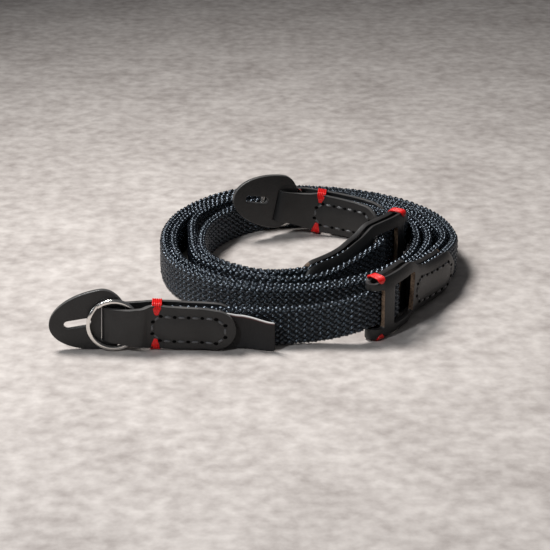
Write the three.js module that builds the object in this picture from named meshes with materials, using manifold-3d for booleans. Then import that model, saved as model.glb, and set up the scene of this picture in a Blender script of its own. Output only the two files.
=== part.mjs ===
// A coiled camera strap: two flat braided straps wound together on edge, each with a
// folded leather camera end and a folded leather slider that rides on the other strap.
// Millimetres, +Z up. The origin is at the middle of the underside of the whole coil.

import * as THREE from 'three';
import Module from 'manifold-3d';

const wasm = await Module();
wasm.setup();

// Braid
const BRAID_WIDTH = 12;
const BRAID_THICKNESS = 2.5;
const BRAID_CORNER = 0.7;
const BRAID_STEP = 5;

// Leather
const LEATHER = 1.5;
const FOLD_STEPS = 6;
const STRIP_STEP = 2.8;
const END_ROUND = 6;
const END_STEPS = 4;
const END_TIP = 0.15;

// Camera end: where the braid starts inside the leather, and the red tack at the neck
const CAMERA_BRAID_START = 18.8;
const CAMERA_TACK_AT = 15.6;
const CAMERA_ROOM_START = 31.8;

// Slider: slot edges measured from the fold, and the red tack beside the fold
const SLIDER_BRAID_START = 23;
const SLIDER_TACK_AT = 2.6;
const SLOT_HALF_HEIGHT = 6.3;
const FOLD_SLOT_END = 3.4;
const FACE_SLOT_START = 7.5;
const FACE_SLOT_END = 19.8;
const CUTTER_HALF_THICKNESS = 6;

// Thread tacks
const TACK_WIDTH = 2.4;
const TACK_THREAD = 0.5;
const TACK_GAP = 0.25;
const TACK_LEG = 3;

// Lug tab: an egg outline with a slit for the camera lug and a slot for the strip
const TAB_THICKNESS = 1.6;
const TAB_HALF_WIDTH = 9.5;
const TAB_LONG_END = 16.9;
const TAB_SHORT_END = 7;
const TAB_SLIT = { from: -12.4, to: -4.2, height: 2.4 };
const TAB_SLOT = { half_width: 1.7, half_height: 5.7, drop: 1.3 };
const TAB_SLOT_AT = 0.2;
const TAB_A_LEAN = 0.19;
const TAB_SIDES = 9;

// Split ring
const RING_OUTER_RADIUS = 8.2;
const RING_BAND = 1.3;
const RING_DEPTH = 1.5;
const RING_SIDES = 28;
const RING_AHEAD = 2.6;
const RING_OFFSET = TAB_THICKNESS / 2 + 0.3 + RING_DEPTH / 2;

// Sewn-in label: a folded woven tag that leaves the leather in front of the braid
const LABEL_THICKNESS = 0.8;
const LABEL_ROOM = 1;
const LABEL_STRIP = [
  { at: 35.8, offset: -1.9, middle: 6.4, half_height: 5.6 },
  { at: 40.5, offset: -1.95, middle: 6, half_height: 5.35 },
  { at: 51.2, offset: -4.2, middle: 5, half_height: 4.7 },
];

// Radius of each layer of the coil at every twelfth of a turn
const COIL = [
  { angle: 0, b_outer: 46.9, a_outer: 43.6, b_inner: 38.6, a_inner: 34.7 },
  { angle: 30, b_outer: 46.8, a_outer: 43.9, b_inner: 39.8, a_inner: 36.8 },
  { angle: 60, b_outer: 46.6, a_outer: 43.8, b_inner: 41.0, a_inner: 38.2 },
  { angle: 90, b_outer: 47.6, a_outer: 44.8, b_inner: 42.0, a_inner: 38.6 },
  { angle: 120, b_outer: 51.4, a_outer: 48.6, b_inner: 45.8, a_inner: 39.2 },
  { angle: 150, b_outer: 49.9, a_outer: 47.1, b_inner: 44.2, a_inner: 37.2 },
  { angle: 180, b_outer: 48.8, a_outer: 46.0, b_inner: 39.6, a_inner: 36.5 },
  { angle: 210, b_outer: 50.0, a_outer: 47.2, b_inner: 41.1, a_inner: 38.1 },
  { angle: 240, b_outer: 50.3, a_outer: 47.4, b_inner: 39.8, a_inner: 36.3 },
  { angle: 270, b_outer: 46.1, a_outer: 43.2, b_inner: null, a_inner: null },
  { angle: 300, b_outer: 40.9, a_outer: 38.0, b_inner: null, a_inner: null },
  { angle: 330, b_outer: 38.3, a_outer: 35.3, b_inner: null, a_inner: null },
];

// Middle lines of the four leather ends, from the fold to the round end
const CAMERA_END_A_LINE = [
  { x: -63.4, y: -66.1, z: 8.6 },
  { x: -55.8, y: -65.6, z: 8.3 },
  { x: -47.8, y: -65.1, z: 7.7 },
  { x: -36, y: -65, z: 7.2 },
  { x: -23.9, y: -64.8, z: 6.9 },
];
const CAMERA_END_B_LINE = [
  { x: -11.6, y: 28.7, z: 11.8 },
  { x: -4.6, y: 31.4, z: 10.1 },
  { x: 3.2, y: 31.9, z: 8.5 },
  { x: 12, y: 29.7, z: 7.6 },
  { x: 19, y: 25.9, z: 7.2 },
  { x: 24.6, y: 20.8, z: 7 },
];
const SLIDER_B_LINE = [
  { x: 16.3, y: -60.2, z: 10.4 },
  { x: 20.6, y: -56.2, z: 10.4 },
  { x: 24.4, y: -50.9, z: 10.4 },
  { x: 27.9, y: -44.8, z: 10.4 },
  { x: 33.9, y: -33, z: 8 },
  { x: 39.6, y: -23, z: 7.2 },
  { x: 43.2, y: -15.6, z: 7.1 },
];
const SLIDER_A_LINE = [
  { x: 29.3, y: 1.9, z: 10.4 },
  { x: 25.9, y: -4, z: 10.4 },
  { x: 21.4, y: -9.6, z: 10.4 },
  { x: 15.8, y: -15.8, z: 10.1 },
  { x: 8.4, y: -23.1, z: 7.8 },
  { x: 0.6, y: -30.2, z: 7.1 },
  { x: -4, y: -33, z: 7 },
];

// How far each leather layer stands off the middle line, and its half height, along a strip
const CAMERA_STRIP = [
  { at: 0, ring_side: 1.9, plain_side: 1.9, half_height: 5.3 },
  { at: 3.8, ring_side: 2.9, plain_side: 2.3, half_height: 5.4 },
  { at: 6.8, ring_side: 4, plain_side: 2.4, half_height: 5.6 },
  { at: 10.9, ring_side: 4, plain_side: 2.2, half_height: 6.1 },
  { at: 13.2, ring_side: 2.4, plain_side: 1.8, half_height: 6.7 },
  { at: 15.6, ring_side: 1.6, plain_side: 1.6, half_height: 6.9 },
  { at: 18.8, ring_side: 2.35, plain_side: 2.35, half_height: 6.7 },
  { at: 28.8, ring_side: 2.35, plain_side: 2.35, half_height: 6.5 },
  { at: 34.8, ring_side: 2.35, plain_side: 2.35, half_height: 6.2 },
  { at: 60, ring_side: 2.35, plain_side: 2.35, half_height: 6.0 },
];
const SLIDER_STRIP = [
  { at: 0, ring_side: 2.4, plain_side: 2.4, half_height: 9.6 },
  { at: 6, ring_side: 2.5, plain_side: 2.5, half_height: 9.6 },
  { at: 18, ring_side: 2.4, plain_side: 2.4, half_height: 9.6 },
  { at: 24, ring_side: 2.35, plain_side: 2.35, half_height: 7.2 },
  { at: 30, ring_side: 2.35, plain_side: 2.35, half_height: 6.7 },
  { at: 60, ring_side: 2.35, plain_side: 2.35, half_height: 6.4 },
];

// How a strap threads through the other strap's slider: side step to the left and lift
const THROUGH_SLIDER = [
  { at: 0, step: 0, lift: 4.3 },
  { at: 4.5, step: 0, lift: 4.3 },
  { at: 9, step: -0.2, lift: 4.3 },
  { at: 13.6, step: 0.5, lift: 4.3 },
  { at: 18.6, step: 4.8, lift: 4.1 },
  { at: 26, step: 5.2, lift: 2.6 },
  { at: 34, step: 4.9, lift: 0.9 },
  { at: 41, step: 4.9, lift: 0.2 },
  { at: 47, step: 4.9, lift: 0 },
];

// Free stretches of the two straps that lie outside the round turns
const A_START = [
  { x: -14, y: -63.9, lift: 0.4 },
  { x: -4.3, y: -63, lift: 0.6 },
  { x: 4.5, y: -62.9, lift: 1.8 },
  { x: 11.3, y: -62.8, lift: 3.5 },
];
const B_TO_SLIDER = [
  { x: -10.8, y: -38.1, lift: 0 },
];
const B_TO_CAMERA_END = [
  { x: 30.7, y: 6.6, lift: 3.6 },
  { x: 30.6, y: 12.2, lift: 2.2 },
  { x: 28.3, y: 17.1, lift: 1.2 },
];

const BLACK_BRAID = new THREE.MeshStandardMaterial({ color: 0x16181c, roughness: 0.8 });
const BLACK_LEATHER = new THREE.MeshStandardMaterial({ color: 0x1e1e1f, roughness: 0.5 });
const RED_THREAD = new THREE.MeshStandardMaterial({ color: 0xd01414, roughness: 0.45 });
const STEEL = new THREE.MeshStandardMaterial({ color: 0xc9c4bc, roughness: 0.2, metalness: 1 });
const WOVEN_LABEL = new THREE.MeshStandardMaterial({ color: 0x101012, roughness: 0.9 });

// Closed solid through rings of points, with a flat cap at each end
function loft(rings) {
  const count = rings[0].length;
  const last = (rings.length - 1) * count;
  const triangles = [];
  for (let i = 0; i < rings.length - 1; i += 1) {
    for (let j = 0; j < count; j += 1) {
      const a = i * count + j;
      const b = i * count + ((j + 1) % count);
      triangles.push(a, b, b + count, a, b + count, a + count);
    }
  }
  for (let j = 1; j < count - 1; j += 1) {
    triangles.push(0, j + 1, j, last, last + j, last + j + 1);
  }
  const geometry = new THREE.BufferGeometry();
  const numbers = rings.flat().flatMap((point) => point.toArray());
  geometry.setAttribute('position', new THREE.Float32BufferAttribute(numbers, 3));
  geometry.setIndex(triangles);
  return facingOut(geometry);
}

// The same geometry with its triangles turned so that its volume is positive
function facingOut(geometry) {
  const place = geometry.getAttribute('position');
  const index = geometry.getIndex();
  const [a, b, c] = [new THREE.Vector3(), new THREE.Vector3(), new THREE.Vector3()];
  let volume = 0;
  for (let i = 0; i < index.count; i += 3) {
    a.fromBufferAttribute(place, index.getX(i));
    b.fromBufferAttribute(place, index.getX(i + 1));
    c.fromBufferAttribute(place, index.getX(i + 2));
    volume += a.dot(b.cross(c));
  }
  if (volume < 0) {
    geometry.setIndex(Array.from(index.array).reverse());
  }
  return geometry;
}

// A solid for cutting, and its geometry again afterwards
function toSolid(geometry) {
  return new wasm.Manifold(new wasm.Mesh({
    numProp: 3,
    vertProperties: new Float32Array(geometry.getAttribute('position').array),
    triVerts: new Uint32Array(geometry.getIndex().array),
  }));
}

function cut(geometry, cutters) {
  const solid = cutters.reduce((left, cutter) => left.subtract(toSolid(cutter)), toSolid(geometry));
  const mesh = solid.getMesh();
  const result = new THREE.BufferGeometry();
  result.setAttribute('position', new THREE.BufferAttribute(mesh.vertProperties, 3));
  result.setIndex(new THREE.BufferAttribute(mesh.triVerts, 1));
  return result;
}

// A value between the rows of a table that is sorted by its first column, at
function between(table, column, at) {
  const passed = table.filter((row) => row.at < at).length;
  const after = THREE.MathUtils.clamp(passed, 1, table.length - 1);
  const [low, high] = [table[after - 1], table[after]];
  const share = THREE.MathUtils.clamp((at - low.at) / (high.at - low.at), 0, 1);
  return THREE.MathUtils.lerp(low[column], high[column], THREE.MathUtils.smoothstep(share, 0, 1));
}

// A middle line that gives its place, direction and left side at any length along it
function middleLine(rows) {
  const points = rows.map((row) => new THREE.Vector3(row.x, row.y, row.z));
  const curve = new THREE.CatmullRomCurve3(points, false, 'centripetal');
  curve.arcLengthDivisions = 400;
  const length = curve.getLength();
  const frameAt = (at) => {
    const share = THREE.MathUtils.clamp(at / length, 0, 1);
    const slope = curve.getTangentAt(share);
    const place = curve.getPointAt(share).addScaledVector(slope, at - share * length);
    const ahead = new THREE.Vector3(slope.x, slope.y, 0).normalize();
    const left = new THREE.Vector3(-ahead.y, ahead.x, 0);
    const up = new THREE.Vector3().crossVectors(slope, left);
    return { place, ahead, left, slope, up };
  };
  return { length, frameAt };
}

// Even lengths from one end of a strip to the other
function strides(start, end, step) {
  const count = Math.max(1, Math.round((end - start) / step));
  return Array.from({ length: count + 1 }, (_, i) => start + ((end - start) * i) / count);
}

// Folded leather strip: out along one side, round the fold and back along the other
function foldedStrip(line, table, ring_side) {
  const round_start = line.length - END_ROUND;
  const fold = table[0].plain_side;
  const ends = Array.from({ length: END_STEPS }, (_, i) => ((i + 1) / END_STEPS) * (Math.PI / 2));
  const along = [
    ...strides(fold, round_start, STRIP_STEP).map((at) => ({ at, shrink: 1 })),
    ...ends.map((turn) => ({
      at: round_start + END_ROUND * Math.sin(turn),
      shrink: Math.max(END_TIP, Math.cos(turn)),
    })),
  ];
  const layer = (side) => along.map(({ at, shrink }) => {
    const { place, left, up } = line.frameAt(at);
    const column = side === ring_side ? 'ring_side' : 'plain_side';
    return {
      place: place.addScaledVector(left, side * between(table, column, at)),
      half: between(table, 'half_height', at) * shrink,
      up,
    };
  });
  const bend = Array.from({ length: FOLD_STEPS - 1 }, (_, i) => {
    const turn = ((i + 1) / FOLD_STEPS) * Math.PI;
    const { place, slope, left, up } = line.frameAt(fold);
    place.addScaledVector(left, ring_side * fold * Math.cos(turn));
    place.addScaledVector(slope, -fold * Math.sin(turn));
    return { place, half: table[0].half_height, up };
  });
  return wall([...layer(ring_side).reverse(), ...bend, ...layer(-ring_side)], LEATHER);
}

// Wall of even thickness along stations that hold a place, a half height and an upward side
function wall(stations, thickness) {
  const rings = stations.map((station, i) => {
    const before = stations[Math.max(0, i - 1)].place;
    const after = stations[Math.min(stations.length - 1, i + 1)].place;
    const across = new THREE.Vector3(before.y - after.y, after.x - before.x, 0).normalize();
    const corner = (side, up) => station.place.clone()
      .addScaledVector(across, (side * thickness) / 2)
      .addScaledVector(station.up, up * station.half);
    return [corner(-1, -1), corner(1, -1), corner(1, 1), corner(-1, 1)];
  });
  return loft(rings);
}

// Straight-through cutter along a strip, between two lengths
function slotCutter(line, from, to) {
  const stations = strides(from, to, STRIP_STEP).map((at) => {
    const { place, up } = line.frameAt(at);
    return { place, half: SLOT_HALF_HEIGHT, up };
  });
  return wall(stations, 2 * CUTTER_HALF_THICKNESS);
}

// Flat braid with worn corners, along points at mid width
function braid(points) {
  const curve = new THREE.CatmullRomCurve3(points, false, 'centripetal');
  curve.arcLengthDivisions = 2000;
  const steps = Math.round(curve.getLength() / BRAID_STEP);
  const half_width = BRAID_WIDTH / 2;
  const half_thick = BRAID_THICKNESS / 2;
  const section = [
    [-half_thick + BRAID_CORNER, -half_width],
    [half_thick - BRAID_CORNER, -half_width],
    [half_thick, -half_width + BRAID_CORNER],
    [half_thick, half_width - BRAID_CORNER],
    [half_thick - BRAID_CORNER, half_width],
    [-half_thick + BRAID_CORNER, half_width],
    [-half_thick, half_width - BRAID_CORNER],
    [-half_thick, -half_width + BRAID_CORNER],
  ];
  const rings = Array.from({ length: steps + 1 }, (_, i) => {
    const place = curve.getPointAt(i / steps);
    place.z = Math.max(place.z, half_width);
    const slope = curve.getTangentAt(i / steps);
    const across = new THREE.Vector3(-slope.y, slope.x, 0).normalize();
    return section.map(([side, up]) => place.clone()
      .addScaledVector(across, side)
      .add(new THREE.Vector3(0, 0, up)));
  });
  return loft(rings);
}

// Points of one layer of the coil, laid flat on the floor
function layerPoints(column) {
  const rows = COIL.filter((row) => row[column] !== null);
  return rows.map((row) => {
    const turn = THREE.MathUtils.degToRad(row.angle);
    const reach = row[column];
    return new THREE.Vector3(reach * Math.cos(turn), reach * Math.sin(turn), BRAID_WIDTH / 2);
  });
}

function freePoints(rows) {
  return rows.map((row) => new THREE.Vector3(row.x, row.y, row.lift + BRAID_WIDTH / 2));
}

function linePoints(line, lengths) {
  return lengths.map((at) => line.frameAt(at).place);
}

function throughSlider(line) {
  return THROUGH_SLIDER.map(({ at, step, lift }) => {
    const { place, left } = line.frameAt(at);
    return place.addScaledVector(left, step).setZ(lift + BRAID_WIDTH / 2);
  });
}

// Thread tack over the top or bottom edge of both layers, as a U of even thickness
function threadTack(line, table, at, rim, ring_side) {
  const { place, slope, left, up } = line.frameAt(at);
  const spots = [at - TACK_WIDTH, at - TACK_WIDTH / 2, at, at + TACK_WIDTH / 2, at + TACK_WIDTH];
  const widest = (column) => Math.max(...spots.map((spot) => between(table, column, spot)));
  const edge = widest('half_height') + TACK_GAP;
  const clear = LEATHER / 2 + TACK_GAP;
  const ring_reach = ring_side * (widest('ring_side') + clear);
  const plain_reach = -ring_side * (widest('plain_side') + clear);
  const grow = ring_side * TACK_THREAD;
  const path = [
    { inner: [ring_reach, edge - TACK_LEG], outer: [ring_reach + grow, edge - TACK_LEG] },
    { inner: [ring_reach, edge], outer: [ring_reach + grow, edge + TACK_THREAD] },
    { inner: [plain_reach, edge], outer: [plain_reach - grow, edge + TACK_THREAD] },
    { inner: [plain_reach, edge - TACK_LEG], outer: [plain_reach - grow, edge - TACK_LEG] },
  ];
  const corner = ([side, rise], along) => place.clone()
    .addScaledVector(left, side)
    .addScaledVector(slope, along * (TACK_WIDTH / 2))
    .addScaledVector(up, rim * rise);
  return loft(path.map(({ inner, outer }) => [
    corner(inner, -1), corner(outer, -1), corner(outer, 1), corner(inner, 1),
  ]));
}

// Egg-shaped tab, its long end towards -X. The slot keeps upright when the tab leans
function tabOutline(lean) {
  const outline = new THREE.Shape();
  outline.absellipse(0, 0, TAB_LONG_END, TAB_HALF_WIDTH, Math.PI / 2, 1.5 * Math.PI, false, 0);
  outline.absellipse(0, 0, TAB_SHORT_END, TAB_HALF_WIDTH, 1.5 * Math.PI, 2.5 * Math.PI, false, 0);
  const slit = new THREE.Path();
  const radius = TAB_SLIT.height / 2;
  slit.absarc(TAB_SLIT.from + radius, 0, radius, Math.PI / 2, 1.5 * Math.PI, false);
  slit.absarc(TAB_SLIT.to - radius, 0, radius, 1.5 * Math.PI, 2.5 * Math.PI, false);
  const slot = new THREE.Path();
  const corners = [[-1, -1], [1, -1], [1, 1], [-1, 1]].map(([side, rise]) => {
    const corner = new THREE.Vector2(side * TAB_SLOT.half_width, rise * TAB_SLOT.half_height);
    corner.y -= TAB_SLOT.drop;
    return corner.rotateAround(new THREE.Vector2(), -lean);
  });
  slot.setFromPoints(corners);
  outline.holes.push(slit, slot);
  return outline;
}

function lugTab(lean) {
  const geometry = new THREE.ExtrudeGeometry(tabOutline(lean), {
    depth: TAB_THICKNESS,
    bevelEnabled: false,
    curveSegments: TAB_SIDES,
  });
  return geometry.translate(0, 0, -TAB_THICKNESS / 2);
}

// Plain ring band, its axis on Y before it is placed
function splitRing() {
  const inner = RING_OUTER_RADIUS - RING_BAND;
  const middle = RING_OUTER_RADIUS - RING_BAND / 2;
  const half = RING_DEPTH / 2;
  const profile = [
    [inner, -half / 2], [middle, -half], [RING_OUTER_RADIUS, -half / 2],
    [RING_OUTER_RADIUS, half / 2], [middle, half], [inner, half / 2], [inner, -half / 2],
  ].map(([x, y]) => new THREE.Vector2(x, y));
  return new THREE.LatheGeometry(profile, RING_SIDES);
}

const part = new THREE.Group();

function add(name, geometry, material) {
  const mesh = new THREE.Mesh(geometry, material);
  mesh.name = name;
  part.add(mesh);
  return mesh;
}

// Turns a flat piece so that its X follows the strip and its Y stands up on it
function turnToStrip(mesh, { left, slope, up }, lean) {
  const right = left.clone().negate();
  mesh.setRotationFromMatrix(new THREE.Matrix4().makeBasis(slope, up, right));
  mesh.rotateZ(lean);
}

// Camera end: folded strip, tab, ring and two thread tacks
function cameraEnd(letter, line, ring_side, lean, room) {
  const table = CAMERA_STRIP.map((row) => ({
    ...row,
    ring_side: row.ring_side + (row.at > CAMERA_ROOM_START ? room : 0),
  }));
  add(`camera_end_${letter}`, foldedStrip(line, table, ring_side), BLACK_LEATHER);
  const slot = line.frameAt(TAB_SLOT_AT);
  const tab = add(`lug_tab_${letter}`, lugTab(lean), BLACK_LEATHER);
  turnToStrip(tab, slot, lean);
  tab.position.copy(slot.place).addScaledVector(slot.up, TAB_SLOT.drop);
  const ring = add(`split_ring_${letter}`, splitRing(), STEEL);
  turnToStrip(ring, slot, 0);
  ring.rotateX(Math.PI / 2);
  ring.position.copy(slot.place)
    .addScaledVector(slot.slope, RING_AHEAD)
    .addScaledVector(slot.left, ring_side * RING_OFFSET);
  addTacks(`camera_end_${letter}`, line, CAMERA_STRIP, CAMERA_TACK_AT, ring_side);
}

// Slider end: folded strip with a slot through its fold and one through its faces
function sliderEnd(letter, line) {
  const strip = foldedStrip(line, SLIDER_STRIP, 1);
  const slots = [
    slotCutter(line, -CUTTER_HALF_THICKNESS, FOLD_SLOT_END),
    slotCutter(line, FACE_SLOT_START, FACE_SLOT_END),
  ];
  add(`slider_end_${letter}`, cut(strip, slots), BLACK_LEATHER);
  addTacks(`slider_end_${letter}`, line, SLIDER_STRIP, SLIDER_TACK_AT, 1);
}

function addTacks(owner, line, table, at, ring_side) {
  add(`${owner}_tack_top`, threadTack(line, table, at, 1, ring_side), RED_THREAD);
  add(`${owner}_tack_bottom`, threadTack(line, table, at, -1, ring_side), RED_THREAD);
}

const camera_end_a = middleLine(CAMERA_END_A_LINE);
const camera_end_b = middleLine(CAMERA_END_B_LINE);
const slider_a = middleLine(SLIDER_A_LINE);
const slider_b = middleLine(SLIDER_B_LINE);

const braid_a_points = [
  ...linePoints(camera_end_a, [CAMERA_BRAID_START, 27, 35]),
  ...freePoints(A_START),
  ...throughSlider(slider_b),
  ...layerPoints('a_outer'),
  ...layerPoints('a_inner'),
  ...linePoints(slider_a, [slider_a.length, 40, 32, SLIDER_BRAID_START]),
];
const braid_b_points = [
  ...linePoints(slider_b, [SLIDER_BRAID_START, 32, 41, slider_b.length]),
  ...layerPoints('b_outer'),
  ...layerPoints('b_inner'),
  ...freePoints(B_TO_SLIDER),
  ...throughSlider(slider_a).reverse(),
  ...freePoints(B_TO_CAMERA_END),
  ...linePoints(camera_end_b, [camera_end_b.length, 33, 26, CAMERA_BRAID_START]),
];
add('braid_a', braid(braid_a_points), BLACK_BRAID);
add('braid_b', braid(braid_b_points), BLACK_BRAID);

cameraEnd('a', camera_end_a, -1, TAB_A_LEAN, LABEL_ROOM);
cameraEnd('b', camera_end_b, 1, 0, 0);
sliderEnd('a', slider_a);
sliderEnd('b', slider_b);

// Label: it swings out in front of the braid, and its top edge falls away from the leather
const label_end = LABEL_STRIP[LABEL_STRIP.length - 1].at;
const label_lengths = strides(LABEL_STRIP[0].at, label_end, STRIP_STEP);
const label_stations = label_lengths.map((at) => {
  const { place, left, up } = camera_end_a.frameAt(at);
  place.addScaledVector(left, between(LABEL_STRIP, 'offset', at));
  place.setZ(between(LABEL_STRIP, 'middle', at));
  return { place, half: between(LABEL_STRIP, 'half_height', at), up };
});
add('label_tag', wall(label_stations, LABEL_THICKNESS), WOVEN_LABEL);

// The middle of the underside goes to the origin
const box = new THREE.Box3().setFromObject(part, true);
const middle = box.getCenter(new THREE.Vector3());
part.position.set(-middle.x, -middle.y, -box.min.z);

export default part;
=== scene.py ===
# %% [markdown]
# # A coiled camera strap
# Two flat braided straps are wound together on edge. Each strap carries a folded leather
# camera end with a tab and a split ring, and a folded leather slider that rides on the other.
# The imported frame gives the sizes, and every piece here replaces one of its nodes.

# %% Load the frame
import math
import bmesh
import bpy
import numpy as np
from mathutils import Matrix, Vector


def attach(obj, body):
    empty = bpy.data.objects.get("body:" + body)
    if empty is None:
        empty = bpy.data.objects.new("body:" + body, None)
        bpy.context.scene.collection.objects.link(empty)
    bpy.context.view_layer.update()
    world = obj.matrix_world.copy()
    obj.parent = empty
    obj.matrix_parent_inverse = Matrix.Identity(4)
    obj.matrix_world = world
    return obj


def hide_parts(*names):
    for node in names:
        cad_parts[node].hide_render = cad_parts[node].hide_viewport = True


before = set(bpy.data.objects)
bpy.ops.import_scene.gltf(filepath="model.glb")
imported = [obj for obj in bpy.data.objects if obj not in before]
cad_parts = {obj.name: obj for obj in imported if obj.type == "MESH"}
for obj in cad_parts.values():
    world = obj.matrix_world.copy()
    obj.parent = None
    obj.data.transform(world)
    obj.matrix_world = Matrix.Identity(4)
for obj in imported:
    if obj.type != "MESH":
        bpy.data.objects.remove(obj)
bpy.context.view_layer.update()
print("nodes", len(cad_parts))

# %% [markdown]
# ## Units and smooth lines
# All tables are in millimetres about the middle of the coil, as the part's source has them.
# A centripetal spline runs through each table's points. A path then gives its place, its
# slope, its left side and its upward side at any length along it.

# %% Smooth lines
MM = 0.001
COIL_CENTRE = np.array((15.8630, 10.5832, 0.0040))
SPAN_STEPS = 30


def metres(points):
    return (np.asarray(points, float) + COIL_CENTRE) * MM


def unit(vectors):
    return vectors / np.linalg.norm(vectors, axis=-1, keepdims=True)


def spline(points):
    points = np.asarray(points, float)
    first = 2 * points[0] - points[1]
    last = 2 * points[-1] - points[-2]
    knots = np.vstack((first, points, last))
    share = np.linspace(0, 1, SPAN_STEPS, endpoint=False)[:, None]
    runs = []
    for p0, p1, p2, p3 in zip(knots, knots[1:], knots[2:], knots[3:]):
        d0, d1, d2 = (math.sqrt(np.linalg.norm(b - a)) for a, b in ((p0, p1), (p1, p2), (p2, p3)))
        leave = d1 * ((p1 - p0) / d0 - (p2 - p0) / (d0 + d1) + (p2 - p1) / d1)
        reach = d1 * ((p2 - p1) / d1 - (p3 - p1) / (d1 + d2) + (p3 - p2) / d2)
        rise = -3 * p1 + 3 * p2 - 2 * leave - reach
        bend = 2 * p1 - 2 * p2 + leave + reach
        runs.append(p1 + leave * share + rise * share**2 + bend * share**3)
    return np.vstack(runs + [points[-1:]])


class Path:
    def __init__(self, points, floor=None):
        self.points = spline(points)
        if floor is not None:
            self.points[:, 2] = np.maximum(self.points[:, 2], floor)
        steps = np.linalg.norm(np.diff(self.points, axis=0), axis=1)
        self.lengths = np.concatenate(([0], np.cumsum(steps)))
        self.length = float(self.lengths[-1])
        self.slopes = unit(np.gradient(self.points, self.lengths, axis=0))

    def frame(self, at):
        at = np.atleast_1d(np.asarray(at, float))
        inside = np.clip(at, 0, self.length)
        place = np.stack([np.interp(inside, self.lengths, c) for c in self.points.T], -1)
        slope = unit(np.stack([np.interp(inside, self.lengths, c) for c in self.slopes.T], -1))
        place += slope * (at - inside)[:, None]
        left = unit(np.stack((-slope[:, 1], slope[:, 0], np.zeros(len(at))), -1))
        return place, slope, left, np.cross(slope, left)


def smooth_between(table, column, at):
    stops = [row[0] for row in table]
    at = np.atleast_1d(np.asarray(at, float))
    after = np.clip(np.searchsorted(stops, at), 1, len(stops) - 1)
    low = np.array([table[i - 1][column] for i in after])
    high = np.array([table[i][column] for i in after])
    start = np.array([stops[i - 1] for i in after])
    end = np.array([stops[i] for i in after])
    share = np.clip((at - start) / (end - start), 0, 1)
    return low + (high - low) * share * share * (3 - 2 * share)


# %% [markdown]
# ## Where everything runs
# The coil has four layers, outermost first. Strap A enters at the front, passes through
# strap B's slider, and winds inwards to its own slider. Strap B starts in the outer slider
# and winds inwards to the camera end inside the coil.

# %% Tables of the layout
COIL = (
    # angle, b_outer, a_outer, b_inner, a_inner
    (0, 46.9, 43.6, 38.6, 34.7),
    (30, 46.8, 43.9, 39.8, 36.8),
    (60, 46.6, 43.8, 41.0, 38.2),
    (90, 47.6, 44.8, 42.0, 38.6),
    (120, 51.4, 48.6, 45.8, 39.2),
    (150, 49.9, 47.1, 44.2, 37.2),
    (180, 48.8, 46.0, 39.6, 36.5),
    (210, 50.0, 47.2, 41.1, 38.1),
    (240, 50.3, 47.4, 39.8, 36.3),
    (270, 46.1, 43.2, None, None),
    (300, 40.9, 38.0, None, None),
    (330, 38.3, 35.3, None, None),
)
B_OUTER, A_OUTER, B_INNER, A_INNER = 1, 2, 3, 4
CAMERA_END_A = ((-63.4, -66.1, 8.6), (-55.8, -65.6, 8.3), (-47.8, -65.1, 7.7),
                (-36, -65, 7.2), (-23.9, -64.8, 6.9))
CAMERA_END_B = ((-11.6, 28.7, 11.8), (-4.6, 31.4, 10.1), (3.2, 31.9, 8.5),
                (12, 29.7, 7.6), (19, 25.9, 7.2), (24.6, 20.8, 7))
SLIDER_B = ((16.3, -60.2, 10.4), (20.6, -56.2, 10.4), (24.4, -50.9, 10.4), (27.9, -44.8, 10.4),
            (33.9, -33, 8), (39.6, -23, 7.2), (43.2, -15.6, 7.1))
SLIDER_A = ((29.3, 1.9, 10.4), (25.9, -4, 10.4), (21.4, -9.6, 10.4), (15.8, -15.8, 10.1),
            (8.4, -23.1, 7.8), (0.6, -30.2, 7.1), (-4, -33, 7))
THROUGH_SLIDER = (
    # length from the fold, side step to the left, lift
    (0, 0, 4.3), (4.5, 0, 4.3), (9, -0.2, 4.3), (13.6, 0.5, 4.3), (18.6, 4.8, 4.1),
    (26, 5.2, 2.6), (34, 4.9, 0.9), (41, 4.9, 0.2), (47, 4.9, 0),
)
A_START = ((-14, -63.9, 0.4), (-4.3, -63, 0.6), (4.5, -62.9, 1.8), (11.3, -62.8, 3.5))
B_TO_SLIDER = ((-10.8, -38.1, 0),)
B_TO_CAMERA_END = ((30.7, 6.6, 3.6), (30.6, 12.2, 2.2), (28.3, 17.1, 1.2))
BRAID_WIDTH = 12.0
BRAID_MIDDLE = BRAID_WIDTH / 2
CAMERA_BRAID_START = 18.8
SLIDER_BRAID_START = 23

camera_a = Path(CAMERA_END_A)
camera_b = Path(CAMERA_END_B)
slider_a = Path(SLIDER_A)
slider_b = Path(SLIDER_B)


def layer_points(column):
    points = []
    for row in COIL:
        if row[column] is not None:
            turn = math.radians(row[0])
            points.append((row[column] * math.cos(turn), row[column] * math.sin(turn), BRAID_MIDDLE))
    return points


def free_points(rows):
    return [(x, y, lift + BRAID_MIDDLE) for x, y, lift in rows]


def line_points(path, lengths):
    return [tuple(path.frame(at)[0][0]) for at in lengths]


def through_slider(path):
    points = []
    for at, step, lift in THROUGH_SLIDER:
        place, _, left, _ = path.frame(at)
        x, y, _ = place[0] + left[0] * step
        points.append((x, y, lift + BRAID_MIDDLE))
    return points


braid_a_path = Path(
    line_points(camera_a, (CAMERA_BRAID_START, 27, 35)) + free_points(A_START)
    + through_slider(slider_b) + layer_points(A_OUTER) + layer_points(A_INNER)
    + line_points(slider_a, (slider_a.length, 40, 32, SLIDER_BRAID_START)), BRAID_MIDDLE)
braid_b_path = Path(
    line_points(slider_b, (SLIDER_BRAID_START, 32, 41, slider_b.length)) + layer_points(B_OUTER)
    + layer_points(B_INNER) + free_points(B_TO_SLIDER) + through_slider(slider_a)[::-1]
    + free_points(B_TO_CAMERA_END)
    + line_points(camera_b, (camera_b.length, 33, 26, CAMERA_BRAID_START)), BRAID_MIDDLE)
print("strap lengths in mm", round(braid_a_path.length, 1), round(braid_b_path.length, 1))

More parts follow.
